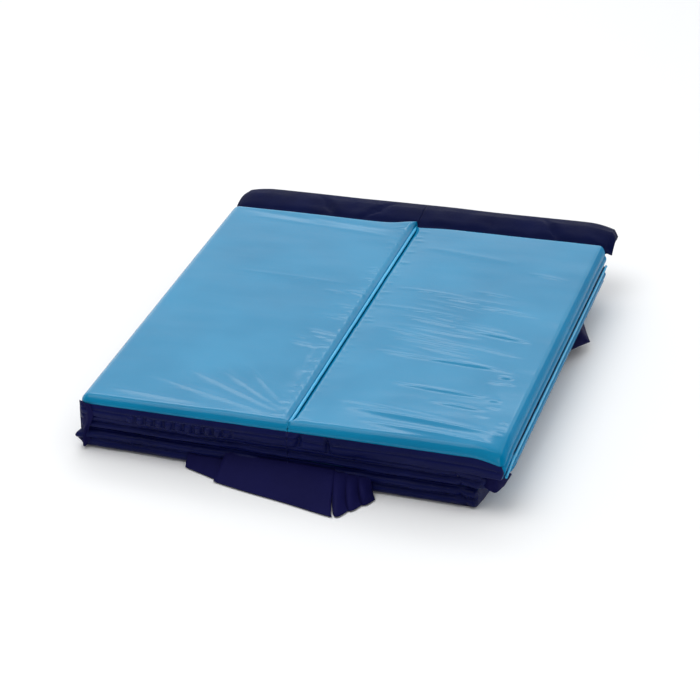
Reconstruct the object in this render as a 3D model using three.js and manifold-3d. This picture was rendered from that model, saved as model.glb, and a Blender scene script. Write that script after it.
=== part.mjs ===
// A folding gym mat of six padded panels, folded into three layers of two panels each.
// Millimetres, +Z up, +X to the right, -Y to the front. The origin is the centre of the underside.
// Panels 1 and 2 are the top layer, 3 and 4 the middle one, 5 and 6 the bottom one. Each panel is a
// foam core in a cover: a film lid on one face, a cloth base sheet on the other, cloth boxing between.
import * as THREE from 'three';
import { mergeVertices } from 'three/addons/utils/BufferGeometryUtils.js';
import Module from 'manifold-3d';

// the stack
const STACK_WIDTH = 600;
const STACK_DEPTH = 640;
const PANEL_THICKNESS = 29;
const LAYER_GAP = 0.4;
const CENTRE_GAP = 2; // between the two panels of a layer
const END_PANEL_INSET = 28; // the last panel, at the bottom right, is narrower than the others

// the cover
const FILM_THICKNESS = 1;
const CLOTH_THICKNESS = 1.2;
const FIT_GAP = 0.3; // between a piece and the one it rests on
const FILM_SKIRT = 13; // how far the film rolls down over a panel's edge
const INNER_RADIUS = 13; // the panel's long edge beside the centre seam
const OUTER_RADIUS = 6; // the panel's long edge at the side of the stack

// the seams that the mat folds on
const EDGE_SEAM_RADIUS = 1.1;
const EDGE_SEAM_OUT = 1.5; // from the side of the stack out to the seam
const CENTRE_SEAM_RADIUS = 1.5;
const CENTRE_SEAM_DEPTH = 5.5; // below the film face
const SEAM_INSET = 4; // at each end

// the loose flaps
const FLAP_THICKNESS = 2;
const REAR_FLAP_DEPTH = 60;
const REAR_FLAP_CLEARANCE = 4.5; // from the back of the stack
const REAR_FLAP_SETBACK = 22; // from the centre seam
const REAR_FLAP_END = 3; // from the side of the stack
const FRONT_FLAP_REACH = 58; // forward from the stack, along the floor
const FRONT_FLAP_TOP = 25;
const FRONT_CLEARANCE = 1.5; // from the front of the stack
const FLOOR_CLEARANCE = 0.3;
const MAIN_LEAF = { left: -89, right: 67 };
const UNDER_LEAF = { left: -144, right: -91 };
const PLEAT_COUNT = 3;
const PLEAT_WIDTH = 14;
const PLEAT_GAP = 2;
const PLEAT_STEP = 6; // each pleat reaches this much less far than the one before it
const CORNER_FLAP_WIDTH = 22;
const CORNER_FLAP_BULGE = 10; // how far a corner flap stands out from the boxing
const LEFT_CORNER_DROP = 62;
const RIGHT_CORNER_DROP = 48;
const SIDE_FLAP_REACH = 36;
const SIDE_FLAP_TOP = 24;
const SIDE_FLAP_DROP = 9; // how much lower its tip is than its root
const SIDE_FLAP_BACK = 250;
const SIDE_FLAP_TIP = 152; // how far back the tip is
const SIDE_FLAP_FRONT = 50;

const halfWidth = STACK_WIDTH / 2;
const halfDepth = STACK_DEPTH / 2;
const panelWidth = (STACK_WIDTH - CENTRE_GAP) / 2;
const panelCentre = (halfWidth + CENTRE_GAP / 2) / 2;
const layerPitch = PANEL_THICKNESS + LAYER_GAP;
const topLayerBase = 2 * layerPitch;
const stackHeight = topLayerBase + PANEL_THICKNESS;
const skirtBottom = PANEL_THICKNESS - FILM_SKIRT;
const insideBottom = CLOTH_THICKNESS + FIT_GAP;
const insideWall = CLOTH_THICKNESS + FIT_GAP;

const blueFilm = new THREE.MeshStandardMaterial({ color: 0x1687c0, roughness: 0.15 });
const navyCloth = new THREE.MeshStandardMaterial({ color: 0x14184a, roughness: 0.5 });
const navySeam = new THREE.MeshStandardMaterial({ color: 0x101440, roughness: 0.45 });
const blueSeam = new THREE.MeshStandardMaterial({ color: 0x1a95c8, roughness: 0.2 });
const foam = new THREE.MeshStandardMaterial({ color: 0xd8d4c8, roughness: 0.95 });

const wasm = await Module();
wasm.setup();

const mat = new THREE.Group();

function add(name, geometry, material, parent = mat) {
  const mesh = new THREE.Mesh(geometry, material);
  mesh.name = name;
  parent.add(mesh);
  return mesh;
}

function toSolid(geometry) {
  const bare = geometry.clone();
  bare.deleteAttribute('normal');
  bare.deleteAttribute('uv');
  const merged = mergeVertices(bare, 1e-4);
  return new wasm.Manifold(new wasm.Mesh({
    numProp: 3,
    vertProperties: new Float32Array(merged.attributes.position.array),
    triVerts: new Uint32Array(merged.index.array),
  }));
}

function toGeometry(solid) {
  const { vertProperties, triVerts } = solid.getMesh();
  const geometry = new THREE.BufferGeometry();
  geometry.setAttribute('position', new THREE.BufferAttribute(vertProperties, 3));
  geometry.setIndex(new THREE.BufferAttribute(triVerts, 1));
  geometry.computeVertexNormals();
  return geometry;
}

// a shape drawn in X and Z, made as deep as asked along Y and centred there
function extrudeAlongY(shape, depth) {
  const geometry = new THREE.ExtrudeGeometry(shape, {
    depth, bevelEnabled: false, curveSegments: 8,
  });
  return geometry.rotateX(Math.PI / 2).translate(0, depth / 2, 0);
}

// a shape drawn in Y and Z, run along X from left to right
function extrudeAlongX(shape, left, right) {
  const geometry = new THREE.ExtrudeGeometry(shape, {
    depth: right - left, bevelEnabled: false, curveSegments: 8,
  });
  const basis = new THREE.Matrix4().makeBasis(
    new THREE.Vector3(0, 1, 0), new THREE.Vector3(0, 0, 1), new THREE.Vector3(1, 0, 0));
  return geometry.applyMatrix4(basis).translate(left, 0, 0);
}

// a slab with its two upper long edges rounded
function slab({ width, depth, bottom, top, leftRadius, rightRadius }) {
  const half = width / 2;
  const outline = new THREE.Shape();
  outline.moveTo(-half, bottom);
  outline.lineTo(half, bottom);
  outline.lineTo(half, top - rightRadius);
  outline.absarc(half - rightRadius, top - rightRadius, rightRadius, 0, Math.PI / 2, false);
  outline.lineTo(-half + leftRadius, top);
  outline.absarc(-half + leftRadius, top - leftRadius, leftRadius, Math.PI / 2, Math.PI, false);
  outline.lineTo(-half, bottom);
  return extrudeAlongY(outline, depth);
}

function radii(innerSide, inset) {
  const inner = INNER_RADIUS - inset;
  const outer = OUTER_RADIUS - inset;
  return innerSide > 0
    ? { leftRadius: outer, rightRadius: inner }
    : { leftRadius: inner, rightRadius: outer };
}

// the film lid: the face, its rolled edges and, on a fold's outside, one whole side wall
function filmLid(width, innerSide, filmSide) {
  const outer = toSolid(slab({
    width, depth: STACK_DEPTH, bottom: skirtBottom, top: PANEL_THICKNESS,
    ...radii(innerSide, 0),
  }));
  const inner = toSolid(slab({
    width: width - 2 * FILM_THICKNESS,
    depth: STACK_DEPTH - 2 * FILM_THICKNESS,
    bottom: skirtBottom - FILM_SKIRT,
    top: PANEL_THICKNESS - FILM_THICKNESS,
    ...radii(innerSide, FILM_THICKNESS),
  }));
  let lid = outer.subtract(inner);
  if (filmSide) {
    const wallTop = skirtBottom + FILM_THICKNESS;
    const wall = new THREE.BoxGeometry(FILM_THICKNESS, STACK_DEPTH, wallTop - insideBottom);
    const wallCentre = filmSide * (width - FILM_THICKNESS) / 2;
    wall.translate(wallCentre, 0, (wallTop + insideBottom) / 2);
    lid = lid.add(toSolid(wall));
  }
  return toGeometry(lid);
}

// the strip of cloth round the panel's sides, open where the film is the side wall
function boxingRing(width, filmSide) {
  const half = width / 2;
  const open = FILM_THICKNESS + FIT_GAP;
  const left = filmSide < 0 ? -half + open : -half;
  const right = filmSide > 0 ? half - open : half;
  const height = skirtBottom - FIT_GAP - insideBottom;
  const block = (x0, x1, y1, z0, z1) => new THREE.BoxGeometry(x1 - x0, 2 * y1, z1 - z0)
    .translate((x0 + x1) / 2, 0, (z0 + z1) / 2);
  const outside = block(left, right, halfDepth, insideBottom, insideBottom + height);
  const inside = block(
    filmSide < 0 ? left - open : left + CLOTH_THICKNESS,
    filmSide > 0 ? right + open : right - CLOTH_THICKNESS,
    halfDepth - CLOTH_THICKNESS, 0, PANEL_THICKNESS);
  return toGeometry(toSolid(outside).subtract(toSolid(inside)));
}

function foamCore(width, innerSide) {
  return slab({
    width: width - 2 * insideWall,
    depth: STACK_DEPTH - 2 * insideWall,
    bottom: insideBottom,
    top: PANEL_THICKNESS - FILM_THICKNESS - FIT_GAP,
    ...radii(innerSide, insideWall),
  });
}

// side is -1 for a panel on the left and 1 for one on the right; a flipped panel has its film down
function panel({ number, side, base, flipped, filmSide, inset = 0 }) {
  const group = new THREE.Group();
  const turn = flipped ? -1 : 1;
  const width = panelWidth - inset;
  const centre = side * (panelCentre - inset / 2);
  group.position.set(centre, 0, flipped ? base + PANEL_THICKNESS : base);
  group.rotation.y = flipped ? Math.PI : 0;
  mat.add(group);
  const innerSide = -side * turn;
  const wallSide = filmSide * turn;
  add(`foam_core_${number}`, foamCore(width, innerSide), foam, group);
  add(`film_lid_${number}`, filmLid(width, innerSide, wallSide), blueFilm, group);
  add(`boxing_${number}`, boxingRing(width, wallSide), navyCloth, group);
}

function baseSheet(name, left, right, bottom) {
  const sheet = new THREE.BoxGeometry(right - left, STACK_DEPTH, CLOTH_THICKNESS);
  const mesh = add(name, sheet, navyCloth);
  mesh.position.set((left + right) / 2, 0, bottom + CLOTH_THICKNESS / 2);
}

function seam(name, x, z, radius, material) {
  const welt = new THREE.CylinderGeometry(radius, radius, STACK_DEPTH - 2 * SEAM_INSET, 12);
  const mesh = add(name, welt, material);
  mesh.position.set(x, 0, z);
}

// the outline of a strip of even thickness along a curve
function stripAlong(curve, thickness) {
  const steps = 8;
  const above = [];
  const below = [];
  for (let i = 0; i <= steps; i += 1) {
    const point = curve.getPoint(i / steps);
    const along = curve.getTangent(i / steps);
    const out = new THREE.Vector2(-along.y, along.x).multiplyScalar(thickness / 2);
    above.push(point.clone().add(out));
    below.unshift(point.clone().sub(out));
  }
  return new THREE.Shape([...below, ...above]);
}

// a leaf of cloth that leaves the front of the stack and comes down on the floor
function frontLeaf(name, left, right, reach) {
  const start = -halfDepth - FRONT_CLEARANCE - FLAP_THICKNESS / 2;
  const floor = FLOOR_CLEARANCE + FLAP_THICKNESS / 2;
  const fall = new THREE.QuadraticBezierCurve(
    new THREE.Vector2(start, FRONT_FLAP_TOP),
    new THREE.Vector2(start - reach / 2, floor + FRONT_FLAP_TOP / 3),
    new THREE.Vector2(start - reach, floor + FLAP_THICKNESS / 2));
  add(name, extrudeAlongX(stripAlong(fall, FLAP_THICKNESS), left, right), navyCloth);
}

function rearFlap(name, left, right) {
  const flap = new THREE.BoxGeometry(right - left, REAR_FLAP_DEPTH, FLAP_THICKNESS);
  const mesh = add(name, flap, navyCloth);
  mesh.position.set(
    (left + right) / 2,
    halfDepth + REAR_FLAP_CLEARANCE + REAR_FLAP_DEPTH / 2,
    stackHeight - FLAP_THICKNESS);
}

// the loose corner of the top layer's boxing, which hangs in front of the layers below
function cornerFlap(name, left, right, drop) {
  const back = -halfDepth - FRONT_CLEARANCE - FLAP_THICKNESS / 2;
  const hang = new THREE.QuadraticBezierCurve(
    new THREE.Vector2(back, stackHeight - FILM_SKIRT),
    new THREE.Vector2(back - 2 * CORNER_FLAP_BULGE, stackHeight - FILM_SKIRT - drop / 2),
    new THREE.Vector2(back, stackHeight - FILM_SKIRT - drop));
  add(name, extrudeAlongX(stripAlong(hang, FLAP_THICKNESS), left, right), navyCloth);
}

// a three-cornered tail of cloth that leans out from the side of the bottom layer
function sideFlap() {
  const tail = new THREE.Shape();
  tail.moveTo(SIDE_FLAP_FRONT, 0);
  tail.lineTo(SIDE_FLAP_BACK, 0);
  tail.lineTo(SIDE_FLAP_TIP, -Math.hypot(SIDE_FLAP_REACH, SIDE_FLAP_DROP));
  tail.lineTo(SIDE_FLAP_FRONT, 0);
  const flap = new THREE.ExtrudeGeometry(tail, { depth: FLAP_THICKNESS, bevelEnabled: false });
  flap.rotateZ(Math.PI / 2);
  const mesh = add('side_flap', flap, navyCloth);
  mesh.rotation.y = Math.atan2(SIDE_FLAP_DROP, SIDE_FLAP_REACH);
  mesh.position.set(halfWidth - END_PANEL_INSET + 1, 0, SIDE_FLAP_TOP - FLAP_THICKNESS);
}

panel({ number: 1, side: -1, base: topLayerBase, flipped: false, filmSide: 0 });
panel({ number: 2, side: 1, base: topLayerBase, flipped: false, filmSide: 1 });
panel({ number: 3, side: 1, base: layerPitch, flipped: true, filmSide: 1 });
panel({ number: 4, side: -1, base: layerPitch, flipped: true, filmSide: 0 });
panel({ number: 5, side: -1, base: 0, flipped: false, filmSide: 0 });
panel({
  number: 6, side: 1, base: 0, flipped: false, filmSide: 0, inset: END_PANEL_INSET,
});

baseSheet('base_sheet_top_left', -halfWidth, -CENTRE_GAP / 2, topLayerBase);
baseSheet('base_sheet_top_right', CENTRE_GAP / 2, halfWidth, topLayerBase);
baseSheet('base_sheet_middle', -halfWidth, halfWidth,
  layerPitch + PANEL_THICKNESS - CLOTH_THICKNESS);
baseSheet('base_sheet_bottom', -halfWidth, halfWidth - END_PANEL_INSET, 0);

const rightFoldHeight = topLayerBase - LAYER_GAP / 2;
const leftFoldHeight = layerPitch - LAYER_GAP / 2;
seam('right_edge_seam', halfWidth + EDGE_SEAM_OUT, rightFoldHeight, EDGE_SEAM_RADIUS, blueSeam);
seam('left_edge_seam', -halfWidth - EDGE_SEAM_OUT, leftFoldHeight, EDGE_SEAM_RADIUS, navySeam);
seam('centre_seam_top', 0, stackHeight - CENTRE_SEAM_DEPTH, CENTRE_SEAM_RADIUS, blueSeam);
seam('centre_seam_middle', 0, layerPitch + CENTRE_SEAM_DEPTH, CENTRE_SEAM_RADIUS, blueSeam);
seam('centre_seam_bottom', 0, PANEL_THICKNESS - CENTRE_SEAM_DEPTH, CENTRE_SEAM_RADIUS, blueSeam);

rearFlap('rear_flap_left', -halfWidth + REAR_FLAP_END, -REAR_FLAP_SETBACK);
rearFlap('rear_flap_right', REAR_FLAP_SETBACK, halfWidth - REAR_FLAP_END);

frontLeaf('front_flap_leaf', MAIN_LEAF.left, MAIN_LEAF.right, FRONT_FLAP_REACH);
frontLeaf('front_flap_under_leaf', UNDER_LEAF.left, UNDER_LEAF.right,
  FRONT_FLAP_REACH - 2 * PLEAT_STEP);
for (let i = 0; i < PLEAT_COUNT; i += 1) {
  const left = MAIN_LEAF.right + PLEAT_GAP + i * (PLEAT_WIDTH + PLEAT_GAP);
  frontLeaf(`front_flap_pleat_${i + 1}`, left, left + PLEAT_WIDTH,
    FRONT_FLAP_REACH - (i + 1) * PLEAT_STEP);
}

cornerFlap('left_corner_flap', -halfWidth, -halfWidth + CORNER_FLAP_WIDTH, LEFT_CORNER_DROP);
cornerFlap('right_corner_flap', halfWidth - CORNER_FLAP_WIDTH, halfWidth, RIGHT_CORNER_DROP);
sideFlap();

export default mat;
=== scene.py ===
import math
import random

import bmesh
import bpy
import numpy as np
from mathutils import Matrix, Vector, noise


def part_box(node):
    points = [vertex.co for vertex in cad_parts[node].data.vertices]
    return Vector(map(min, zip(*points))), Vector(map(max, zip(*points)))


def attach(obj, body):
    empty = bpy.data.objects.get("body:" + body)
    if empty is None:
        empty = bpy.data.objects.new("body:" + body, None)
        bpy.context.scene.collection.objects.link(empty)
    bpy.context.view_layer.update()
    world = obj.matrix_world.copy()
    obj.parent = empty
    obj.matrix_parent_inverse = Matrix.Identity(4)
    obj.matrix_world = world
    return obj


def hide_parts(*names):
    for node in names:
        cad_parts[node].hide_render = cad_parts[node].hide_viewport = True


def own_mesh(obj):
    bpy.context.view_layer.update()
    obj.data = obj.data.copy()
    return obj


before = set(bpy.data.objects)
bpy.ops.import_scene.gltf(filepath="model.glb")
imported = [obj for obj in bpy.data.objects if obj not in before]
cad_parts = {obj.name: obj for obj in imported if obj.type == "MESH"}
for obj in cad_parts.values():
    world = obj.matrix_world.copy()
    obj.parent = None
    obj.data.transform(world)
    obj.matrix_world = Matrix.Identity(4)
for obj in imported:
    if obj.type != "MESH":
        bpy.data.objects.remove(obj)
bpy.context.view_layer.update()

# ---------------------------------------------------------------- camera, floor and light
# The folded mat stands on a pale floor. It is seen from the front, a little from the right and
# from above, through a long lens, with a white wall behind it and a big soft light overhead.
STACK_WIDTH = 0.6
CAMERA_YAW = math.radians(17.1)
CAMERA_PITCH = math.radians(28.8)
CAMERA_DISTANCE = 6.1 * STACK_WIDTH
CAMERA_LENS = 128.6

right = Vector((math.cos(CAMERA_YAW), math.sin(CAMERA_YAW), 0))
back = Vector((
    math.sin(CAMERA_YAW) * math.cos(CAMERA_PITCH),
    -math.cos(CAMERA_YAW) * math.cos(CAMERA_PITCH),
    math.sin(CAMERA_PITCH),
))
above = back.cross(right)
camera = bpy.data.objects.new("camera", bpy.data.cameras.new("camera"))
bpy.context.scene.collection.objects.link(camera)
camera.location = (
    back * CAMERA_DISTANCE - right * 0.017 * STACK_WIDTH + above * 0.044 * STACK_WIDTH
)
camera.rotation_mode = "QUATERNION"
camera.rotation_quaternion = (-back).to_track_quat("-Z", "Y")
camera.data.lens = CAMERA_LENS
camera.data.sensor_width = 36
camera.data.dof.use_dof = False
bpy.context.scene.camera = camera

floor_mesh = bpy.data.meshes.new("floor")
floor_mesh.from_pydata([(-9, -9, 0), (9, -9, 0), (9, 9, 0), (-9, 9, 0)], [], [(0, 1, 2, 3)])
floor = bpy.data.objects.new("floor", floor_mesh)
bpy.context.scene.collection.objects.link(floor)
floor_paint = bpy.data.materials.new("studio_floor")
floor_paint.use_nodes = True
floor_paint.node_tree.nodes["Principled BSDF"].inputs["Base Color"].default_value = (
    0.9, 0.9, 0.9, 1,
)
floor_paint.node_tree.nodes["Principled BSDF"].inputs["Roughness"].default_value = 0.9
floor_mesh.materials.append(floor_paint)


def soft_light(name, place, size, power):
    lamp = bpy.data.lights.new(name, "AREA")
    lamp.shape = "RECTANGLE"
    lamp.size, lamp.size_y = size
    lamp.energy = power
    holder = bpy.data.objects.new(name, lamp)
    holder.location = place
    holder.rotation_mode = "QUATERNION"
    holder.rotation_quaternion = (-Vector(place)).to_track_quat("-Z", "Y")
    bpy.context.scene.collection.objects.link(holder)


bpy.context.scene.view_settings.view_transform = "Standard"
soft_light("overhead_light", (-0.6, -0.4, 2.6), (2.2, 2.2), 34)
soft_light("front_light", (1.6, -2.6, 1.2), (1.6, 1.2), 7)
soft_light("back_light", (-1.1, 2.7, 2.6), (2.6, 0.7), 19)

world = bpy.data.worlds.new("studio")
world.use_nodes = True
bpy.context.scene.world = world
sky = world.node_tree
sky.nodes["Background"].inputs["Color"].default_value = (0.96, 0.98, 1, 1)
heading = sky.nodes.new("ShaderNodeTexCoord")
parts = sky.nodes.new("ShaderNodeSeparateXYZ")
wall_light = sky.nodes.new("ShaderNodeMapRange")
wall_light.inputs["From Min"].default_value = -0.3
wall_light.inputs["From Max"].default_value = 0.8
wall_light.inputs["To Min"].default_value = 0.3
wall_light.inputs["To Max"].default_value = 1.6
sky.links.new(heading.outputs["Generated"], parts.inputs["Vector"])
sky.links.new(parts.outputs["Y"], wall_light.inputs["Value"])
sky.links.new(wall_light.outputs["Result"], sky.nodes["Background"].inputs["Strength"])

# ---------------------------------------------------------------- the covers' materials
# The face of each panel is glossy light-blue vinyl film, which picks up smears and fine draw
# lines. The sides and the underside are navy coated cloth, woven fine, with a low sheen.


def new_finish(name):
    made = bpy.data.materials.new(name)
    made.use_nodes = True
    return made, made.node_tree.nodes, made.node_tree.links, made.node_tree.nodes[
        "Principled BSDF"]


def patchy_colour(nodes, links, shader, space, size, dark, light):
    spots = nodes.new("ShaderNodeTexNoise")
    spots.inputs["Scale"].default_value = size
    spots.inputs["Detail"].default_value = 3
    ramp = nodes.new("ShaderNodeValToRGB")
    ramp.color_ramp.elements[0].position = 0.3
    ramp.color_ramp.elements[0].color = (*dark, 1)
    ramp.color_ramp.elements[1].position = 0.7
    ramp.color_ramp.elements[1].color = (*light, 1)
    links.new(space, spots.inputs["Vector"])
    links.new(spots.outputs["Fac"], ramp.inputs["Fac"])
    links.new(ramp.outputs["Color"], shader.inputs["Base Color"])
    return spots


def spread_roughness(nodes, links, shader, spots, low, high):
    to_range = nodes.new("ShaderNodeMapRange")
    to_range.inputs["From Min"].default_value = 0.3
    to_range.inputs["From Max"].default_value = 0.7
    to_range.inputs["To Min"].default_value = low
    to_range.inputs["To Max"].default_value = high
    links.new(spots.outputs["Fac"], to_range.inputs["Value"])
    links.new(to_range.outputs["Result"], shader.inputs["Roughness"])


def film_finish(name, dark, light, gloss=0.24):
    made, nodes, links, shader = new_finish(name)
    space = nodes.new("ShaderNodeTexCoord").outputs["Object"]
    spots = patchy_colour(nodes, links, shader, space, 9, dark, light)
    spread_roughness(nodes, links, shader, spots, 0.13, 0.22)
    drawn = nodes.new("ShaderNodeMapping")
    drawn.inputs["Scale"].default_value = (9, 46, 46)
    fine = nodes.new("ShaderNodeTexNoise")
    fine.inputs["Scale"].default_value = 1
    fine.inputs["Detail"].default_value = 4
    fine.inputs["Distortion"].default_value = 0.6
    grain = nodes.new("ShaderNodeBump")
    grain.inputs["Strength"].default_value = 0.35
    grain.inputs["Distance"].default_value = 0.0006
    links.new(space, drawn.inputs["Vector"])
    links.new(drawn.outputs["Vector"], fine.inputs["Vector"])
    links.new(fine.outputs["Fac"], grain.inputs["Height"])
    links.new(grain.outputs["Normal"], shader.inputs["Normal"])
    shader.inputs["Specular IOR Level"].default_value = gloss
    return made


# the fine plain weave of the coated cloth, as a height
weave = bpy.data.node_groups.new("plain_weave", "ShaderNodeTree")
weave.interface.new_socket("Vector", in_out="INPUT", socket_type="NodeSocketVector")
weave.interface.new_socket("Threads", in_out="INPUT", socket_type="NodeSocketFloat")
weave.interface.new_socket("Height", in_out="OUTPUT", socket_type="NodeSocketFloat")
weave_in = weave.nodes.new("NodeGroupInput")
weave_out = weave.nodes.new("NodeGroupOutput")
threads = []
for direction in ("X", "Y", "Z"):
    bands = weave.nodes.new("ShaderNodeTexWave")
    bands.bands_direction = direction
    weave.links.new(weave_in.outputs["Vector"], bands.inputs["Vector"])
    weave.links.new(weave_in.outputs["Threads"], bands.inputs["Scale"])
    threads.append(bands.outputs["Fac"])
two = weave.nodes.new("ShaderNodeMath")
two.operation = "ADD"
three = weave.nodes.new("ShaderNodeMath")
three.operation = "ADD"
weave.links.new(threads[0], two.inputs[0])
weave.links.new(threads[1], two.inputs[1])
weave.links.new(two.outputs[0], three.inputs[0])
weave.links.new(threads[2], three.inputs[1])
weave.links.new(three.outputs[0], weave_out.inputs["Height"])


def cloth_finish(name, dark, light, low, high, gloss):
    made, nodes, links, shader = new_finish(name)
    space = nodes.new("ShaderNodeTexCoord").outputs["Object"]
    spots = patchy_colour(nodes, links, shader, space, 14, dark, light)
    spread_roughness(nodes, links, shader, spots, low, high)
    shader.inputs["Specular IOR Level"].default_value = gloss
    shader.inputs["Sheen Weight"].default_value = 0.01
    shader.inputs["Sheen Roughness"].default_value = 0.4
    woven = nodes.new("ShaderNodeGroup")
    woven.node_tree = weave
    woven.inputs["Threads"].default_value = 420
    rumple = nodes.new("ShaderNodeTexNoise")
    rumple.inputs["Scale"].default_value = 60
    rumple.inputs["Detail"].default_value = 3
    soft = nodes.new("ShaderNodeBump")
    soft.inputs["Strength"].default_value = 0.5
    soft.inputs["Distance"].default_value = 0.0012
    cross = nodes.new("ShaderNodeBump")
    cross.inputs["Strength"].default_value = 0.25
    cross.inputs["Distance"].default_value = 0.0002
    links.new(space, woven.inputs["Vector"])
    links.new(space, rumple.inputs["Vector"])
    links.new(rumple.outputs["Fac"], soft.inputs["Height"])
    links.new(soft.outputs["Normal"], cross.inputs["Normal"])
    links.new(woven.outputs["Height"], cross.inputs["Height"])
    links.new(cross.outputs["Normal"], shader.inputs["Normal"])
    return made


blue_film = film_finish("blue_film", (0.0, 0.185, 0.36), (0.0, 0.215, 0.41))
# a copy of the film for the side walls and their rolled rim, painted darker and with almost no
# gloss: painted shade on the walls
blue_film_shaded_side = film_finish("blue_film_shaded_side", (0.0, 0.165, 0.34), (0.0, 0.200, 0.40), 0.03)
# a lighter blue than the film for the weld beads: a painted highlight along each seam
blue_weld_highlight = film_finish("blue_weld_highlight", (0.02, 0.34, 0.6), (0.06, 0.42, 0.68))
navy_cloth = cloth_finish(
    "navy_cloth", (0.002, 0.004, 0.048), (0.004, 0.007, 0.072), 0.26, 0.38, 0.10)
navy_flap_cloth = cloth_finish(
    "navy_flap_cloth", (0.005, 0.005, 0.048), (0.008, 0.008, 0.062), 0.5, 0.62, 0.04)
# a darker copy of the navy cloth for the rear sleeves, with little gloss; the darkening is painted
# shade
navy_sleeve_shaded_cloth = cloth_finish(
    "navy_sleeve_shaded_cloth", (0.002, 0.004, 0.030), (0.004, 0.007, 0.044), 0.45, 0.6, 0.02)

# ---------------------------------------------------------------- the panel covers
# Six soft panels, each with a film face, a boxing strip of cloth round its sides and a cloth
# base. The film is welded to the boxing just past the rolled edge. The cover is loose on its
# foam, so the film lies in long shallow wrinkles and the boxing sags and gathers.
PANELS = {
    1: {"base": "base_sheet_top_left", "body": "top_left_panel", "up": True, "side": -1},
    2: {"base": "base_sheet_top_right", "body": "top_right_panel", "up": True, "side": 1},
    3: {"base": "base_sheet_middle", "body": "middle_layer", "up": False, "side": 1},
    4: {"base": "base_sheet_middle", "body": "middle_layer", "up": False, "side": -1},
    5: {"base": "base_sheet_bottom", "body": "bottom_layer", "up": True, "side": -1},
    6: {"base": "base_sheet_bottom", "body": "bottom_layer", "up": True, "side": 1},
}
FILM_WALLS = {2: "right", 3: "right"}
GATHERED = {1: (-0.25, -0.06), 2: (0.004, 0.075)} # from and to, across the mat
GATHER_PITCH = 0.0141
EDGE_ROLL = 0.011
PRESSED_ROLL = 0.005
BASE_ROLL = 0.004
TOP_SKIRT = 0.0125
FLOOR_ROOM = 0.0009 # keeps the boxing's lower edge, with its thickness, off the floor
WALL_ROOM = 0.0011 # how far a side wall may stand out and still clear the fold line
LEFT_SETTLE = 0.9
RIGHT_SETTLE = 1.08
LEFT_HINGE = 0.0292 # heights of the two side folds, which stay where the joints turn
RIGHT_HINGE = 0.0586
top_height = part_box("film_lid_1")[1][2]
half_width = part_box("film_lid_2")[1][0]
half_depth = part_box("film_lid_1")[1][1]


def settled(points):
    """The stack is flatter on the left than on the right, where the fold holds it open. At each
    side only what lies above that side's fold line changes height."""
    out = points.copy()
    share = np.clip((points[:, 0] + half_width) / (2 * half_width), 0, 1)
    height = points[:, 2]
    left_scale = (LEFT_SETTLE * top_height - LEFT_HINGE) / (top_height - LEFT_HINGE)
    right_scale = (RIGHT_SETTLE * top_height - RIGHT_HINGE) / (top_height - RIGHT_HINGE)
    change = (1 - share) * (left_scale - 1) * np.maximum(height - LEFT_HINGE, 0)
    change += share * (right_scale - 1) * np.maximum(height - RIGHT_HINGE, 0)
    out[:, 2] += change
    # the loose front right corner hangs lower the higher it is in the stack
    near = np.clip((points[:, 0] - half_width + 0.045) / 0.045, 0, 1)
    near *= np.clip((-half_depth + 0.05 - points[:, 1]) / 0.05, 0, 1)
    out[:, 2] -= 0.014 * near ** 1.5 * (points[:, 2] / top_height) ** 2
    return out


def panel_box(number):
    facts = PANELS[number]
    lid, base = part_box(f"film_lid_{number}"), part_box(facts["base"])
    low = Vector((lid[0][0], lid[0][1], base[0][2] if facts["up"] else lid[0][2]))
    high = Vector((lid[1][0], lid[1][1], lid[1][2] if facts["up"] else base[1][2]))
    return low, high


def grid_lines(length, step, roll):
    """Lines across a side: close together where the edge rolls over, even in between."""
    rolled = [roll * k / 4 for k in range(5)]
    count = max(2, round((length - 2 * roll) / step))
    middle = [roll + (length - 2 * roll) * k / count for k in range(1, count)]
    return rolled + middle + [length - d for d in reversed(rolled)]


class Shell:
    """Quads on the sides of a box, with shared corners."""

    def __init__(self):
        self.points, self.faces, self.index = [], [], {}

    def at(self, point):
        key = tuple(round(c * 1e6) for c in point)
        if key not in self.index:
            self.index[key] = len(self.points)
            self.points.append(point)
        return self.index[key]

    def side(self, firsts, seconds, place, outward):
        for a0, a1 in zip(firsts, firsts[1:]):
            for b0, b1 in zip(seconds, seconds[1:]):
                quad = [self.at(place(a, b)) for a, b in ((a0, b0), (a1, b0), (a1, b1), (a0, b1))]
                self.faces.append(quad if outward else quad[::-1])


def rolled_edges(local, size, film_roll, inner=0):
    """Moves points on a box to a box with rolled edges; also gives their outward directions.
    inner is the side by the centre valley, where the roll dies away at the front and the back."""
    width, depth, thick = size
    roll = np.where(local[:, 2] > thick / 2, film_roll, BASE_ROLL)
    from_end = np.minimum(local[:, 1], depth - local[:, 1])
    near_inner = local[:, 0] > width / 2 if inner > 0 else local[:, 0] < width / 2
    closed = np.clip(from_end / 0.022, 0.06, 1)
    roll_x = np.where(near_inner & (inner != 0), roll * closed, roll)
    core = np.empty_like(local)
    core[:, 0] = np.clip(local[:, 0], roll_x, width - roll_x)
    square = near_inner & (inner != 0) & (from_end < roll)
    core[:, 0] = np.where(square, local[:, 0], core[:, 0])
    core[:, 1] = np.clip(local[:, 1], roll, depth - roll)
    core[:, 2] = np.clip(local[:, 2], BASE_ROLL, thick - film_roll)
    spans = np.stack([roll_x, roll, roll], axis=1)
    out = (local - core) / spans
    away = out / np.maximum(np.linalg.norm(out, axis=1, keepdims=True), 1e-9)
    return core + away * spans, away


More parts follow.
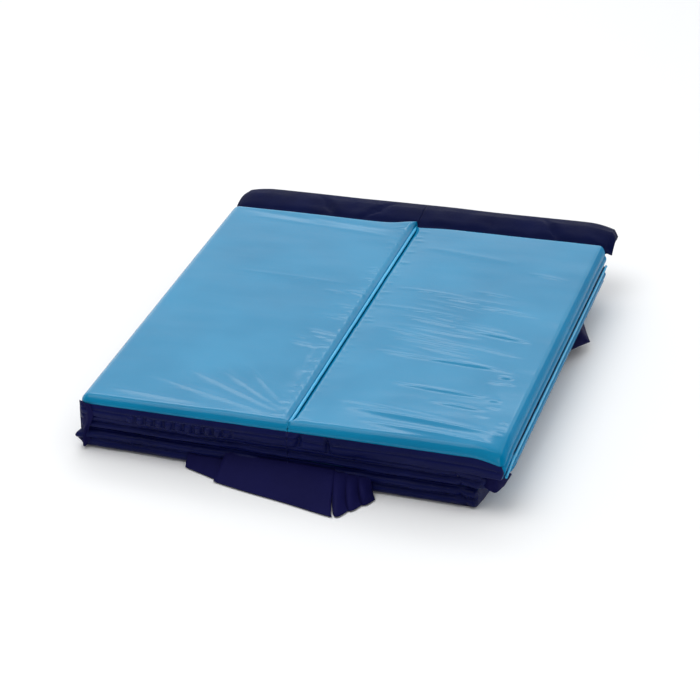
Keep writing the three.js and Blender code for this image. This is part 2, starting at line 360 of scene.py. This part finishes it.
def crease(x, y, start, end, width, height):
    """One wrinkle: a crest along a line, sharp across and dying away at both ends."""
    ax, ay = start
    dx, dy = end[0] - ax, end[1] - ay
    length = math.hypot(dx, dy)
    along = ((x - ax) * dx + (y - ay) * dy) / length ** 2
    across = ((x - ax) * dy - (y - ay) * dx) / length
    taper = np.clip(1 - (2 * along - 1) ** 2, 0, 1)
    return height * taper * np.exp(-(np.abs(across) / (width * (0.45 + 0.55 * taper))) ** 1.6)


def noise_at(x, y, size, seed):
    return np.array([
        noise.noise(Vector((a / size[0], b / size[1], seed))) for a, b in zip(x, y)
    ])


MM = 0.001
# wrinkles seen on the two top panels: start, end, width and height in millimetres
LEFT_WRINKLES = [
    ((-282, 306), (-150, 290), 9, -2.4), ((-176, 302), (-22, 284), 9, -2.2),
    ((-262, 284), (-130, 272), 6, 1.4), ((-150, 276), (-24, 262), 6, 1.3),
    ((-236, 98), (-21, 90), 3.5, 0.8), ((-193, -205), (-20, -294), 5, 1.7),
    ((-150, -190), (-17, -288), 5, 1.5), ((-108, -178), (-14, -280), 4, 1.4),
    ((-230, -240), (-30, -303), 6, 1.5), ((-26, -104), (-15, -284), 9, -2.6),
    ((-48, -60), (-9, -250), 5, 1.3), ((-290, -286), (-120, -300), 6, 1.1),
]
RIGHT_WRINKLES = [
    ((137, -103), (236, -110), 3.5, 1.6), ((99, -180), (240, -190), 3.5, 1.6),
    ((167, -216), (253, -224), 3, 1.3), ((60, -258), (272, -278), 9, 2.6),
    ((86, -288), (286, -304), 7, 2.0), ((40, -240), (215, -262), 4, 1.1),
    ((30, 240), (190, 214), 7, 0.8), ((206, 190), (276, 178), 4, 0.8),
]


def film_wrinkles(number, x, y):
    rise = np.zeros_like(x)
    rng = random.Random(number)
    side = PANELS[number]["side"]
    if number == 1:
        for start, end, width, height in LEFT_WRINKLES:
            start, end = [(a * MM, b * MM) for a, b in (start, end)]
            rise += crease(x, y, start, end, width * MM, 0.6 * height * MM)
        spread = [(rng.uniform(-80, -30), rng.uniform(70, -110), 45) for _ in range(9)]
    elif number == 2:
        for start, end, width, height in RIGHT_WRINKLES:
            start, end = [(a * MM, b * MM) for a, b in (start, end)]
            rise += crease(x, y, start, end, width * MM, height * MM)
        spread = [
            (rng.uniform(8, 150), 108 - 9 * k + rng.uniform(-4, 4), rng.uniform(70, 150))
            for k in range(24)
        ]
        spread += [(rng.uniform(222, 250), rng.uniform(-120, -245), 24) for _ in range(8)]
        for k in range(4):
            middle = (-247 - 11 * k) * MM
            rise += crease(x, y, (0.272, middle), (0.288, middle - 0.004), 2 * MM, 0.8 * MM)
    else:
        spread = [
            (side * rng.uniform(60, 240), rng.uniform(-290, 290), rng.uniform(50, 160))
            for _ in range(34)
        ]
    for centre, middle, length in spread:
        slope = rng.uniform(-0.2, -0.09)
        start = (centre * MM, middle * MM)
        end = ((centre + length) * MM, (middle + slope * length) * MM)
        rise += crease(x, y, start, end, rng.uniform(2.6, 4.4) * MM, rng.uniform(0.5, 1.2) * MM)
    # gathers where the film is welded down along the centre seam
    for k in range(34):
        middle = (-300 + 600 * (k + rng.uniform(-0.3, 0.3)) / 33) * MM
        reach = rng.uniform(10, 30) * MM
        start, end = (side * 0.003, middle), (side * (0.003 + reach), middle - 0.1 * reach)
        rise += crease(x, y, start, end, 2.4 * MM, rng.uniform(0.3, 0.9) * MM)
    rise += 1.0 * MM * noise_at(x, y, (0.13, 0.10), number)
    rise += 0.3 * MM * noise_at(x, y, (0.07, 0.028), number + 9.5)
    return rise


def film_roll(number):
    return EDGE_ROLL if number in (1, 2) else PRESSED_ROLL


def cover_points(number, local, size, low):
    """Where points of the flat-sided cover lie on the real, slack one. local is from the cover's
    corner, with its third number counted from the base towards the film."""
    width, depth, thick = size
    facts = PANELS[number]
    placed, away = rolled_edges(local, size, film_roll(number), -facts["side"])
    x, y = placed[:, 0] + low[0], placed[:, 1] + low[1]
    facing = np.clip(away[:, 2], 0, 1) ** 2
    u, v = local[:, 0] / width * 2 - 1, local[:, 1] / depth * 2 - 1
    crown = (1 - np.abs(u) ** 3.2) * (1 - np.abs(v) ** 3.2)
    lift = 2.2 * MM * crown * facing + film_wrinkles(number, x, y) * facing
    level = local[:, 2] / thick
    sideways = 1 - np.abs(away[:, 2])
    swell = (0.4 if number == 6 else 1.2) * MM * np.sin(np.pi * np.clip(level, 0, 1)) * sideways
    placed[:, 0] += away[:, 0] * swell
    placed[:, 1] += away[:, 1] * swell
    placed[:, 2] += lift
    # the cover bridges the centre gap at the front and the back
    from_end = half_depth - np.abs(y)
    bridge = np.clip(1 - from_end / 0.012, 0, 1) * np.clip(1 - np.abs(x) / 0.006, 0, 1)
    placed[:, 0] -= facts["side"] * 0.0009 * bridge
    from_seam, from_back = np.abs(x), half_depth - y
    if number == 1:
        bulge = np.exp(-(from_seam / 0.030) ** 2 - (from_back / 0.030) ** 2)
        placed[:, 2] += 4.5 * MM * bulge * level
        placed[:, 1] += 5 * MM * bulge * level
    if number == 2:
        along = np.clip((half_depth + y) / 0.05, 0, 1)
        placed[:, 2] -= 3 * MM * np.exp(-(from_seam / 0.035) ** 2) * level * along
    if not facts["up"]:
        placed[:, 2] = thick - placed[:, 2]
    placed += np.array(low)
    return placed, away


def bump_at(value, middle, width):
    return np.exp(-((value - middle) / width) ** 2)


def front_sag(number, local, size, placed, away):
    """The front boxing. On the top layer it hangs in one loose band over the layer below, with a
    row of gathers and two tucks. On the lower layers it is pressed into two rounds with a crease
    between, and folded over at the right end."""
    facts = PANELS[number]
    thick = size[2]
    layer = (number + 1) // 2
    front = np.clip(-away[:, 1], 0, 1) ** 2
    x = placed[:, 0]
    wander = noise_at(x, placed[:, 2], (0.09, 0.05), layer + 3.5)
    if number in (1, 2):
        down = np.clip(1 - local[:, 2] / (thick - TOP_SKIRT), 0, 1)
        ends = np.clip((half_width - np.abs(x)) / 0.03, 0, 1)
        placed[:, 2] -= (0.004 + 0.006 * ends + 0.0015 * wander) * down * front
        bow = 3.6 * MM * np.sin(np.pi * np.clip(down * 0.85, 0, 1)) + 1.5 * MM * down
        ripple = noise_at(x, placed[:, 2], (0.045, 0.011), layer)
        row = np.clip((x + 0.240) / 0.02, 0, 1) * np.clip((-0.070 - x) / 0.02, 0, 1)
        wave = np.cos(2 * np.pi * x / GATHER_PITCH + 0.6 * wander)
        below = np.clip((down - 0.34) / 0.12, 0, 1) * np.clip((1.02 - down) / 0.2, 0, 1)
        gather = (1 - 2 * (0.5 - 0.5 * wave) ** 2.5) * below * row
        tucks = bump_at(x + 0.004 * down, 0.018, 0.004) + bump_at(x - 0.004 * down, 0.055, 0.003)
        seam_line = bump_at(down, 0.36 + 0.05 * wander, 0.045)
        placed[:, 1] -= front * (bow + MM * (2.0 * ripple * down + 2.6 * gather))
        placed[:, 1] += front * MM * (1.6 * seam_line + 6.5 * tucks * np.sin(np.pi * down))
    else:
        level = local[:, 2] / thick if facts["up"] else 1 - local[:, 2] / thick
        rounds = np.abs(np.sin(2 * np.pi * level)) ** 0.7
        right_end = np.clip((x - half_width + 0.10) / 0.06, 0, 1)
        mitre = bump_at(x + 0.8 * (level - 0.5) * thick, half_width - 0.052, 0.006)
        ripple = noise_at(x, placed[:, 2], (0.05, 0.009), layer)
        drawn = noise_at(x, placed[:, 2] + 0.3 * x, (0.02, 0.014), layer + 6.5)
        back_off = 3.6 * MM if number in (3, 4) else 2.4 * MM
        placed[:, 1] += front * (back_off - MM * (
            5.6 * rounds + 1.8 * ripple + (1.2 + 2.2 * right_end) * drawn - 4.5 * mitre))
    return placed


def side_folds(number, local, size, placed, away):
    """The film wall on the outside of the right fold lies in long soft folds along the mat, kept
    inside the fold line. The bottom layer's cloth sticks out in a small tip at the front left."""
    level = local[:, 2] / size[2]
    side = np.clip(away[:, 0], 0, 1) ** 2
    y = placed[:, 1]
    if number in FILM_WALLS:
        wander = 0.07 * noise_at(y, level, (0.12, 0.9), number + 2.5)
        first = bump_at(level + wander, 0.50 if number == 2 else 0.34, 0.055)
        second = bump_at(level - wander, 0.10 if number == 2 else 0.74, 0.07)
        ridge = bump_at(level + wander, 0.30 if number == 2 else 0.55, 0.12)
        meeting = bump_at(level, 0, 0.09) * (0.4 if number == 2 else 1)
        placed[:, 0] += side * MM * (2.2 * meeting + 1.6 * ridge - 2.4 * first - 1.6 * second - 1.2)
        placed[:, 0] = np.minimum(placed[:, 0], half_width + WALL_ROOM)
    if number == 5:
        tip = np.clip(1 - local[:, 0] / 0.016, 0, 1) * np.clip(1 - local[:, 1] / 0.005, 0, 1)
        placed[:, 0] -= 0.007 * tip * bump_at(level, 0.7, 0.3)
        placed[:, 1] -= 0.009 * tip * bump_at(level, 0.7, 0.3)
    return drawn_in(number, placed)


def drawn_in(number, placed):
    """The two lower panels on the right are pulled in at their front corner."""
    if number in (3, 6):
        near_front = np.clip((-half_depth + 0.075 - placed[:, 1]) / 0.075, 0, 1) ** 2
        near_right = np.clip((placed[:, 0] - half_width + 0.09) / 0.09, 0, 1)
        placed[:, 0] -= (0.030 if number == 3 else 0.012) * near_front * near_right
    return placed


def piece_from(name, points, faces, finish, thickness, offset=-1):
    mesh = bpy.data.meshes.new(name)
    mesh.from_pydata([tuple(p) for p in points], [], faces)
    mesh.validate()
    mesh.shade_smooth()
    mesh.materials.append(finish)
    made = bpy.data.objects.new(name, mesh)
    bpy.context.scene.collection.objects.link(made)
    if thickness:
        wall = made.modifiers.new("thickness", "SOLIDIFY")
        wall.thickness = thickness
        wall.offset = offset
    return made


def build_cover(number):
    facts = PANELS[number]
    low, high = panel_box(number)
    size = width, depth, thick = tuple(high - low)
    fine = number in (1, 2)
    roll = film_roll(number)
    xs = grid_lines(width, 0.003 if fine else 0.004, roll)
    ys = grid_lines(depth, 0.003 if fine else 0.006, roll)
    start, end = GATHERED.get(number, (0, 0)) # closer lines where the front is gathered
    xs = sorted(xs + [(a + b) / 2 for a, b in zip(xs, xs[1:]) if start < a + low[0] < end])
    skirt = TOP_SKIRT if fine else roll
    weld = thick - skirt
    rim = sorted({round(z, 7) for z in [weld, *(thick - roll * k / 4 for k in range(5))]})
    wall = [weld * k / 20 for k in range(21)]
    film, boxing, base = Shell(), Shell(), Shell()
    turn = facts["up"]
    face_start = 0 if fine else 4
    film.side(xs, ys[face_start:], lambda a, b: (a, b, thick), turn)
    if face_start:
        boxing.side(xs, ys[:face_start + 1], lambda a, b: (a, b, thick), turn)
    base.side(xs[::2] + ([xs[-1]] if len(xs) % 2 == 0 else []),
              ys[::2] + ([ys[-1]] if len(ys) % 2 == 0 else []),
              lambda a, b: (a, b, 0.0), not turn)
    for side in ("front", "back", "left", "right"):
        def place(a, b, side=side):
            return {
                "front": (a, 0.0, b), "back": (a, depth, b),
                "left": (0.0, a, b), "right": (width, a, b),
            }[side]
        lines = xs if side in ("front", "back") else ys
        outward = (side in ("front", "right")) == turn
        target = film if FILM_WALLS.get(number) == side else boxing
        (film if fine else target).side(lines, rim, place, outward)
        target.side(lines, wall, place, outward)
    for shell, name, finish, slot, node, thickness in (
        (film, f"film_face_{number}", blue_film, "blue_film", f"film_lid_{number}", 0.0009),
        (boxing, f"boxing_strip_{number}", navy_cloth, "navy_cloth", f"boxing_{number}", 0.0008),
    ):
        local = np.array(shell.points)
        placed, away = cover_points(number, local, size, low)
        placed = front_sag(number, local, size, placed, away)
        placed = side_folds(number, local, size, placed, away)
        placed[:, 2] = np.maximum(placed[:, 2], FLOOR_ROOM)
        made = piece_from(name, settled(placed), shell.faces, finish, thickness)
        if shell is film and number in FILM_WALLS:
            made.data.materials.append(blue_film_shaded_side)
            made.data.materials.append(navy_cloth)
            # faces on the side wall take the darker film copy, which is painted shade; tucked faces
            # at the front take the navy cloth
            for face in made.data.polygons:
                middle = np.mean([local[v] for v in face.vertices], axis=0)
                on_side = middle[0] > width - 0.6 * roll
                tucked = number == 3 and middle[1] < 0.04
                face.material_index = (2 if tucked else 1) if on_side else 0
        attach(made, facts["body"])
        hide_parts(node)
    local = np.array(base.points)
    placed, away = cover_points(number, local, size, low)
    placed = side_folds(number, local, size, placed, away)
    return piece_from(f"base_{number}", settled(placed), base.faces, navy_cloth, 0.0008)


bases = {number: build_cover(number) for number in PANELS}
for number, name in ((1, "top_left"), (2, "top_right")):
    bases[number].name = f"base_cloth_{name}"
    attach(bases[number], PANELS[number]["body"])
    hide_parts(f"base_sheet_{name}")
    low, high = panel_box(number)
for numbers, name in (((3, 4), "middle"), ((5, 6), "bottom")):
    joined = bmesh.new()
    for number in numbers:
        joined.from_mesh(bases[number].data)
    whole = bpy.data.meshes.new(f"base_cloth_{name}")
    joined.to_mesh(whole)
    joined.free()
    whole.materials.append(navy_cloth)
    for number in numbers:
        bpy.data.objects.remove(bases[number])
    made = bpy.data.objects.new(f"base_cloth_{name}", whole)
    bpy.context.scene.collection.objects.link(made)
    wall = made.modifiers.new("thickness", "SOLIDIFY")
    wall.thickness = 0.0008
    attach(made, f"{name}_layer")
    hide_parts(f"base_sheet_{name}")
    low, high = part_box(f"base_sheet_{name}")

# ---------------------------------------------------------------- the seams that it folds on
# A weld bead runs down the valley between two panels of a layer. At each side fold a thin welt
# joins two layers. Both wander a little, because the film and cloth are drawn up along them.
def welt(name, node, radius, finish, body, seed):
    low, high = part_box(node)
    centre_x, centre_z = (low[0] + high[0]) / 2, (low[2] + high[2]) / 2
    rings, around = 160, 8
    points = []
    for k in range(rings + 1):
        y = low[1] + (high[1] - low[1]) * k / rings
        wander = 0.5 * MM * noise.noise(Vector((seed, y / 0.03, 0)))
        for m in range(around):
            turn = 2 * math.pi * m / around
            points.append((
                centre_x + wander + radius * math.cos(turn),
                y,
                centre_z + wander + radius * math.sin(turn),
            ))
    faces = [
        (k * around + m, (k + 1) * around + m,
         (k + 1) * around + (m + 1) % around, k * around + (m + 1) % around)
        for k in range(rings) for m in range(around)
    ]
    faces.append(list(range(around)))
    faces.append([rings * around + m for m in reversed(range(around))])
    made = piece_from(name, settled(np.array(points)), faces, finish, 0)
    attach(made, body)
    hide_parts(node)


# the blue beads and the right welt take the lighter blue, a painted highlight along each seam
welt("right_fold_welt", "right_edge_seam", 0.0019, blue_weld_highlight, "middle_layer", 1)
welt("left_fold_welt", "left_edge_seam", 0.0011, navy_cloth, "bottom_layer", 2)
welt("top_centre_weld", "centre_seam_top", 0.0024, blue_weld_highlight, "top_right_panel", 3)
welt("middle_centre_weld", "centre_seam_middle", 0.0016, blue_weld_highlight, "middle_layer", 4)
welt("bottom_centre_weld", "centre_seam_bottom", 0.0016, blue_weld_highlight, "bottom_layer", 5)

# ---------------------------------------------------------------- the hem stitches
# The boxing of the top layer is folded over at its upper edge and sewn down with one row of
# lockstitch in navy thread, which runs along the whole front.
STITCH_PITCH = 0.0042
STITCH_LENGTH = 0.0028
THREAD_RADIUS = 0.00035
HEM_LEVEL = 0.66 # of the boxing's height, from its lower edge

thread_finish = cloth_finish(
    "navy_thread", (0.010, 0.016, 0.090), (0.016, 0.024, 0.120), 0.4, 0.5, 0.2)

row = bpy.data.node_groups.new("stitch_row", "GeometryNodeTree")
row.interface.new_socket("Path", in_out="INPUT", socket_type="NodeSocketGeometry")
row_sizes = {
    name: row.interface.new_socket(name, in_out="INPUT", socket_type="NodeSocketFloat").identifier
    for name in ("Pitch", "Length", "Radius")
}
row.interface.new_socket("Stitches", in_out="OUTPUT", socket_type="NodeSocketGeometry")
row_in = row.nodes.new("NodeGroupInput")
row_out = row.nodes.new("NodeGroupOutput")
to_curve = row.nodes.new("GeometryNodeMeshToCurve")
spaced = row.nodes.new("GeometryNodeResampleCurve")
spaced.mode = "LENGTH"
bead = row.nodes.new("GeometryNodeMeshCylinder")
bead.inputs["Vertices"].default_value = 6
turned = row.nodes.new("FunctionNodeAlignRotationToVector")
turned.axis = "Z"
tangent = row.nodes.new("GeometryNodeInputTangent")
placing = row.nodes.new("GeometryNodeInstanceOnPoints")
real = row.nodes.new("GeometryNodeRealizeInstances")
painted = row.nodes.new("GeometryNodeSetMaterial")
painted.inputs["Material"].default_value = thread_finish
row.links.new(row_in.outputs["Path"], to_curve.inputs["Mesh"])
row.links.new(to_curve.outputs["Curve"], spaced.inputs["Curve"])
row.links.new(row_in.outputs["Pitch"], spaced.inputs["Length"])
row.links.new(row_in.outputs["Length"], bead.inputs["Depth"])
row.links.new(row_in.outputs["Radius"], bead.inputs["Radius"])
row.links.new(tangent.outputs["Tangent"], turned.inputs["Vector"])
row.links.new(spaced.outputs["Curve"], placing.inputs["Points"])
row.links.new(bead.outputs["Mesh"], placing.inputs["Instance"])
row.links.new(turned.outputs["Rotation"], placing.inputs["Rotation"])
row.links.new(placing.outputs["Instances"], real.inputs["Geometry"])
row.links.new(real.outputs["Geometry"], painted.inputs["Geometry"])
row.links.new(painted.outputs["Geometry"], row_out.inputs["Stitches"])

for number in (1, 2):
    low, high = panel_box(number)
    size = tuple(high - low)
    hem = (size[2] - TOP_SKIRT) * HEM_LEVEL
    xs = np.linspace(EDGE_ROLL, size[0] - EDGE_ROLL, 160)
    local = np.stack([xs, np.zeros_like(xs), np.full_like(xs, hem)], axis=1)
    placed, away = cover_points(number, local, size, low)
    placed = settled(front_sag(number, local, size, placed, away)) + away * THREAD_RADIUS
    path = bpy.data.meshes.new("stitch_path")
    path.from_pydata([tuple(p) for p in placed], [(k, k + 1) for k in range(len(xs) - 1)], [])
    holder = bpy.data.objects.new("stitch_path", path)
    bpy.context.scene.collection.objects.link(holder)
    sewing = holder.modifiers.new("stitches", "NODES")
    sewing.node_group = row
    for name, value in (
        ("Pitch", STITCH_PITCH), ("Length", STITCH_LENGTH), ("Radius", THREAD_RADIUS),
    ):
        sewing[row_sizes[name]] = value
    ready = holder.evaluated_get(bpy.context.evaluated_depsgraph_get())
    mesh = bpy.data.meshes.new_from_object(ready)
    bpy.data.objects.remove(holder)
    made = bpy.data.objects.new(f"hem_stitches_{number}", mesh)
    bpy.context.scene.collection.objects.link(made)
    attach(made, PANELS[number]["body"])

# ---------------------------------------------------------------- the foam cores
# One slab of closed-cell foam fills each cover. It is cut from sheet, with its edges eased by
# the cover, and is seen only if a cover is opened.
foam_finish, nodes, links, shader = new_finish("foam")
space = nodes.new("ShaderNodeTexCoord").outputs["Object"]
spots = patchy_colour(nodes, links, shader, space, 20, (0.6, 0.56, 0.48), (0.7, 0.66, 0.58))
spread_roughness(nodes, links, shader, spots, 0.85, 0.97)
cells = nodes.new("ShaderNodeTexVoronoi")
cells.inputs["Scale"].default_value = 700
pitted = nodes.new("ShaderNodeBump")
pitted.inputs["Strength"].default_value = 0.5
pitted.inputs["Distance"].default_value = 0.0004
links.new(space, cells.inputs["Vector"])
links.new(cells.outputs["Distance"], pitted.inputs["Height"])
links.new(pitted.outputs["Normal"], shader.inputs["Normal"])
FOAM_INSET = 0.0045
for number, facts in PANELS.items():
    low, high = panel_box(number)
    inset = Vector((FOAM_INSET,) * 3)
    low, high = low + inset, high - inset
    size = tuple(high - low)
    xs, ys = (grid_lines(size[axis], 0.03, EDGE_ROLL) for axis in (0, 1))
    zs = grid_lines(size[2], 0.005, 0.003)
    core = Shell()
    for a in (0.0, size[2]):
        core.side(xs, ys, lambda p, q, a=a: (p, q, a), a > 0)
    for a in (0.0, size[1]):
        core.side(xs, zs, lambda p, q, a=a: (p, a, q), a == 0)
    for a in (0.0, size[0]):
        core.side(ys, zs, lambda p, q, a=a: (a, p, q), a > 0)
    placed, _ = rolled_edges(np.array(core.points), size, EDGE_ROLL)
    placed = drawn_in(number, placed + np.array(low))
    made = piece_from(f"foam_slab_{number}", settled(placed), core.faces, foam_finish, 0)
    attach(made, facts["body"])
    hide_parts(f"foam_core_{number}")

# ---------------------------------------------------------------- the rear flaps
# A flat sleeve of the navy cloth is sewn along the back of each top panel. It sticks out level
# behind the mat, with soft lengthways folds, and it droops and narrows towards its outer end.
SLEEVE_OVERHANG = 0.010
END_TAPER = 0.008
SLEEVE_PINCHES = ((-0.130, 0.05, 0.007), (-0.100, -0.06, 0.006), (0.232, 0.05, 0.006))


def sleeve_folds(x, share):
    long_fold = noise.noise(Vector((x / 0.16, share * 1.6, 5)))
    crumple = noise.noise(Vector((x / 0.028 + share, share * 2.4, 9)))
    pinch = sum(
        math.exp(-((x - at + slant * share) / wide) ** 2)
        for at, slant, wide in SLEEVE_PINCHES)
    gutter = math.exp(-((share - 0.12) / 0.08) ** 2)
    ridge = math.exp(-((share - 0.62) / 0.10) ** 2)
    raised = 3.2 * long_fold + 2.4 * crumple + 1.6 * ridge
    return raised - 4.4 * gutter - 5.4 * pinch * math.sin(math.pi * share)


for side, body in (("left", "rear_flap_left"), ("right", "rear_flap_right")):
    low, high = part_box(f"rear_flap_{side}")
    outer = low[0] - 0.005 if side == "left" else high[0] + SLEEVE_OVERHANG
    inner = -0.00015 if side == "left" else 0.00015
    x0, x1 = min(outer, inner), max(outer, inner)
    columns, around = 150, 40
    y0, y1 = half_depth - 0.006, high[1] + 0.002
    points = []
    for k in range(columns + 1):
        x = x0 + (x1 - x0) * k / columns
        from_end = abs(x - outer)
        closing = min(1, from_end / END_TAPER)
        far = y1 - 0.014 * (1 - closing) + 2 * MM * noise.noise(Vector((x / 0.09, 1.3, 0)))
        thick = (1.4 + 2.4 * closing ** 0.5) * MM
        droop = 9 * MM * (1 - min(1, from_end / 0.05)) ** 2
        for m in range(around):
            turn = 2 * math.pi * m / around
            reach, rise = math.cos(turn), math.sin(turn)
            reach = math.copysign(abs(reach) ** 0.7, reach)
            share = (reach + 1) / 2
            past_edge = min(1, max(0, (abs(x) - half_width + 0.005) / 0.004))
            root = y0 + 0.010 * past_edge
            y = root + (far - root) * share
            level = top_height - 7.6 * MM + 7.5 * MM * math.sin(math.pi * min(1, share * 1.3) / 2)
            fold = MM * sleeve_folds(x, share) * math.sin(math.pi * min(1, share + 0.12))
            points.append((x, y, level + thick * rise + fold - droop))
    faces = [
        (k * around + m, k * around + (m + 1) % around,
         (k + 1) * around + (m + 1) % around, (k + 1) * around + m)
        for k in range(columns) for m in range(around)
    ]
    faces.append([m for m in reversed(range(around))])
    faces.append([columns * around + m for m in range(around)])
    # the sleeve takes the darker navy copy, painted shade behind the mat
    made = piece_from(
        f"rear_sleeve_{side}", settled(np.array(points)), faces, navy_sleeve_shaded_cloth, 0)
    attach(made, body)
    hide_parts(f"rear_flap_{side}")
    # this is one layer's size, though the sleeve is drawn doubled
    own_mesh(made)

# ---------------------------------------------------------------- the front flap bundle
# A loose tail of the navy cloth comes out between the middle and bottom layers and falls
# forward on the floor. It is gathered at its right end into narrow pleats.
FLAP_CLOTH = 0.0011


def draped_leaf(name, node, left, right, top, reach, skew, relief, across=40, down=28):
    """A leaf that leaves the stack at a height and lies down on the floor. reach and skew are how
    far it comes forward and goes to the right, at its left and at its right edge."""
    start = -half_depth + 1 * MM
    points = []
    for i in range(down + 1):
        s = i / down
        for k in range(across + 1):
            u = k / across
            forward = (reach[0] + (reach[1] - reach[0]) * u) * (1 - (1 - s) ** 1.35)
            sideways = (skew[0] + (skew[1] - skew[0]) * u) * s
            out, up = relief(u, s)
            z = (top - 1 * MM) * (1 - s) ** 1.6 + (0.9 + 0.8 * s) * MM + up
            points.append((left + (right - left) * u + sideways, start - forward - out, z))
    faces = [
        (i * (across + 1) + k, (i + 1) * (across + 1) + k,
         (i + 1) * (across + 1) + k + 1, i * (across + 1) + k + 1)
        for i in range(down) for k in range(across)
    ]
    made = piece_from(name, points, faces, navy_flap_cloth, FLAP_CLOTH, 1)
    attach(made, "front_flap")
    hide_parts(node)
    return made


def leaf_relief(u, s):
    wave = noise.noise(Vector((u * 2.2, s * 1.4, 4)))
    return 2.5 * MM * wave * s, 1.6 * MM * (wave + 0.4) * math.sin(math.pi * s)


leaf_low, leaf_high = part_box("front_flap_leaf")
leaf_top = leaf_high[2]
draped_leaf("front_leaf", "front_flap_leaf", leaf_low[0], leaf_high[0], leaf_top,
            (0.042, 0.080), (-0.004, 0.020), leaf_relief)
under_low, under_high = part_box("front_flap_under_leaf")
draped_leaf("front_under_leaf", "front_flap_under_leaf", under_low[0], under_high[0] + 0.004,
            leaf_top * 0.6, (0.018, 0.036), (0.002, -0.006),
            lambda u, s: (0, 0.8 * MM * math.sin(math.pi * s) * math.sin(5 * u)))
PLEAT_REACH = 0.088
for number in (1, 2, 3):
    low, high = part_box(f"front_flap_pleat_{number}")

    def pleat_relief(u, s, number=number):
        fold = math.sin(math.pi * u ** 0.75) * (0.4 + 0.6 * s)
        curl = math.sin(math.pi * s) * (1 + 0.4 * number)
        return 12 * MM * fold, 6 * MM * fold * curl

    short = PLEAT_REACH - 0.019 * number
    draped_leaf(f"front_pleat_{number}", f"front_flap_pleat_{number}", low[0] - 0.003,
                high[0] + 0.001, leaf_top - 0.001 * number, (short, short - 0.010),
                (0.024 - 0.003 * number, 0.022 - 0.003 * number), pleat_relief,
                across=18)

# ---------------------------------------------------------------- the loose corners and side tail
# Spare cloth hangs at the front corners, where the boxing is folded round and not sewn down. A
# three-cornered tail of it leans out at the right side of the bottom layer.


def cloth_sheet(name, node, body, place, across, down, flip=False):
    points = [place(k / across, i / down) for i in range(down + 1) for k in range(across + 1)]
    faces = [
        (i * (across + 1) + k, (i + 1) * (across + 1) + k,
         (i + 1) * (across + 1) + k + 1, i * (across + 1) + k + 1)
        for i in range(down) for k in range(across)
    ]
    if flip:
        faces = [face[::-1] for face in faces]
    made = piece_from(name, points, faces, navy_flap_cloth, FLAP_CLOTH, 1)
    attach(made, body)
    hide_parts(node)
    return made


def settled_point(point):
    return tuple(settled(np.array([point]))[0])


left_low, left_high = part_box("left_corner_flap")
LEFT_FLAP_WIDTH = 0.018


def left_corner(u, s):
    """Hangs in front of the stack at the left, with one upright crease and a ragged lower edge."""
    x = left_low[0] - 0.002 + LEFT_FLAP_WIDTH * u * (1 + 0.25 * math.sin(6 * s))
    ridge = 4.5 * MM * math.exp(-((u - 0.6 - 0.15 * math.sin(4 * s)) / 0.16) ** 2)
    rumple = 2.2 * MM * noise.noise(Vector((u * 2.5, s * 3.5, 8)))
    fall = (left_high[2] - left_low[2] + 5 * MM) * s * (1 - 0.06 * math.sin(9 * u))
    y = -half_depth - 3 * MM - ridge * (0.4 + s) - rumple + 7 * MM * (1 - u) ** 3
    return settled_point((x, y, left_high[2] + 1 * MM - fall))


made = cloth_sheet("left_corner_cloth", "left_corner_flap", "top_left_panel", left_corner, 22, 34)

right_low, right_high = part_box("right_corner_flap")
RIGHT_FLAP_WIDTH = 0.040
RIGHT_FLAP_SETBACK = 0.012


def right_corner(u, s):
    """Hangs behind the drawn-in corners of the lower layers and leans in as it comes down."""
    lean = 0.010 * s
    x = right_high[0] + 0.005 - RIGHT_FLAP_WIDTH * (1 - u) * (1 - 0.3 * s) - lean
    y = -half_depth + RIGHT_FLAP_SETBACK - 7 * MM * math.sin(math.pi * u) + 8 * MM * u ** 4
    crease_at = MM * 3 * math.exp(-((u - 0.55 - 0.2 * s) / 0.12) ** 2) * s
    rumple = 1.8 * MM * noise.noise(Vector((u * 3, s * 3, 2)))
    fall = (right_high[2] - right_low[2] - 2 * MM) * s * (1 - 0.05 * math.sin(7 * u))
    tucked = 24 * MM * u ** 3 * (1 - s)
    return settled_point((x, y - crease_at - rumple, right_high[2] + 1 * MM - fall - tucked))


made = cloth_sheet(
    "right_corner_cloth", "right_corner_flap", "top_right_panel", right_corner, 26, 34)

tail_low, tail_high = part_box("side_flap")
TAIL_TIP = 0.51 # along the root from the front
TAIL_CURL = 0.003


def side_tail(u, s):
    """A triangle with its root at the side of the bottom layer and a creased tip standing out."""
    y = tail_low[1] + (tail_high[1] - tail_low[1]) * (u * (1 - s) + TAIL_TIP * s)
    x = tail_low[0] + 0.8 * MM + (tail_high[0] - tail_low[0] + 3 * MM) * s
    fold = TAIL_CURL * math.sin(math.pi * s) * math.cos(3 * math.pi * u)
    z = tail_high[2] - (tail_high[2] - tail_low[2] - 1 * MM) * s + fold
    return x, y, z + 1.2 * MM * noise.noise(Vector((u * 3, s * 2, 6)))


made = cloth_sheet("side_tail", "side_flap", "side_flap", side_tail, 40, 16)
